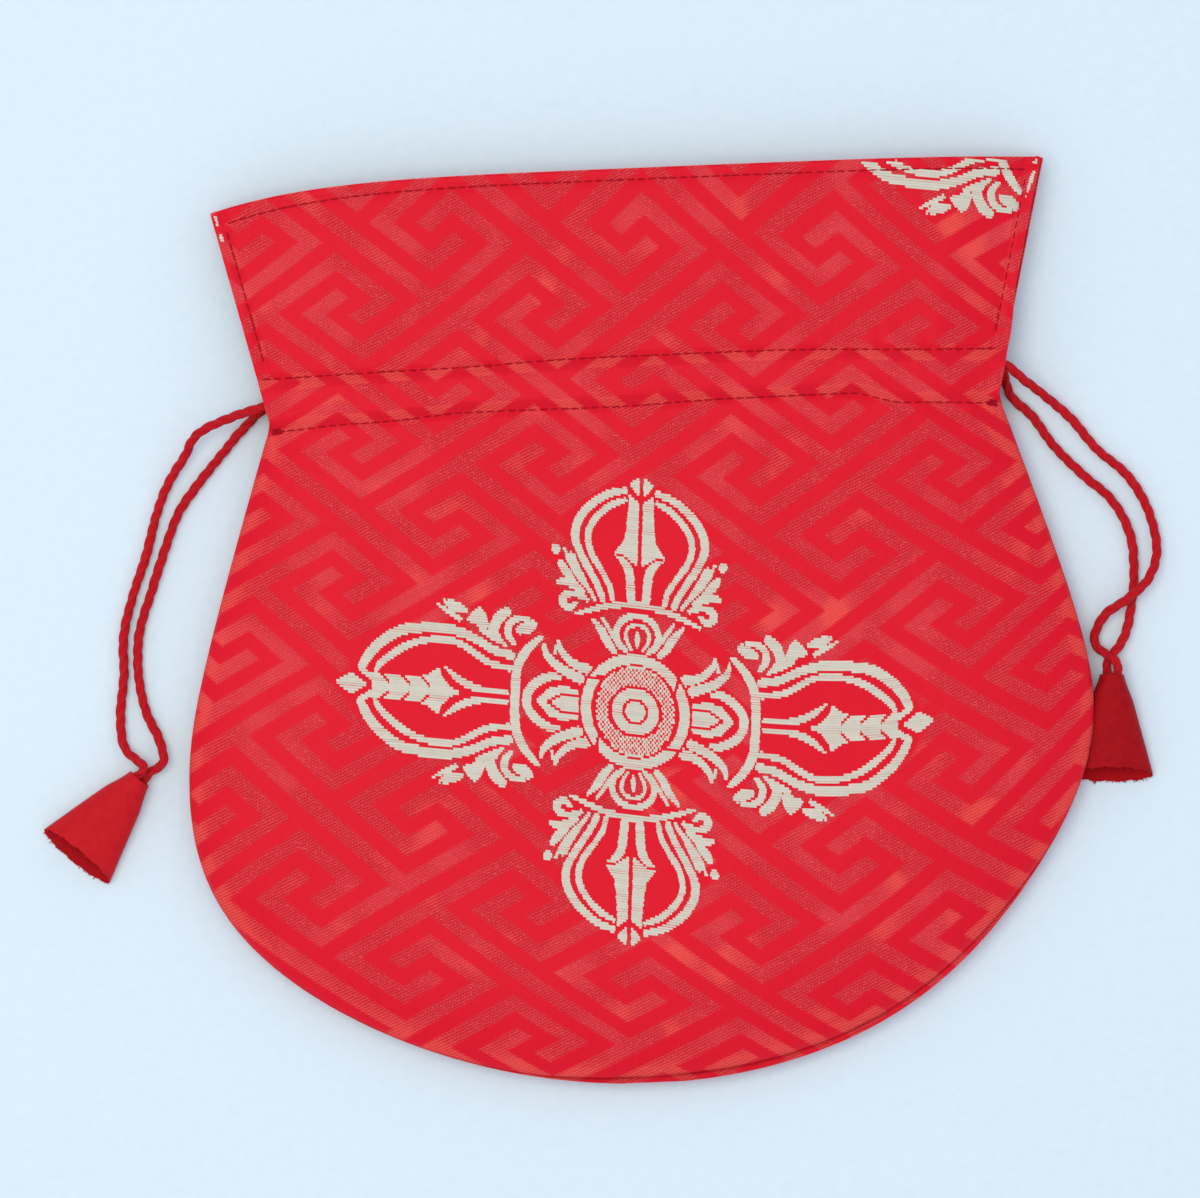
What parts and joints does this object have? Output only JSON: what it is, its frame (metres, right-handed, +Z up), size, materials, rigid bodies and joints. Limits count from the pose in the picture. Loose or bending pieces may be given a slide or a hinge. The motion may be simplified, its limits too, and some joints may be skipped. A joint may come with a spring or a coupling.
{
  "type": "drawstring pouch",
  "caption": "Round-bodied brocade drawstring pouch lying flat, with a lined cavity, stitched casing, flared mouth and looped cords that end in cloth cones.",
  "frame": {"origin": "under the middle of the pouch's box, on the surface that it lies on; cords and cones are left out of that box", "axes": "+X across the pouch to its right side as the front is seen, +Y from the round bottom to the mouth, +Z up through the front panel"},
  "size_m": [0.2279, 0.1832, 0.0114],
  "materials": {
    "brocade": "glossy red satin brocade with a woven key fret",
    "lining": "plain woven red lining",
    "thread": "dark red sewing thread",
    "cord": "twisted red cord",
    "cone_cloth": "matt red plain weave",
    "cream_weft": "cream floss weft"
  },
  "bodies": {
    "root": {"front_panel": "brocade", "back_panel": "brocade", "front_lining": "lining", "back_lining": "lining", "left_drawstring": "cord", "right_drawstring": "cord", "left_cone_end": "cone_cloth", "right_cone_end": "cone_cloth", "left_end_knot": "cord", "right_end_knot": "cord", "front_lower_casing_stitching": "thread", "front_upper_casing_stitching": "thread", "back_lower_casing_stitching": "thread", "back_upper_casing_stitching": "thread", "front_flap_topstitching": "thread", "back_flap_topstitching": "thread", "body_seam_thread": "thread", "double_vajra_weave": "cream_weft"}
  },
  "joints": []
}
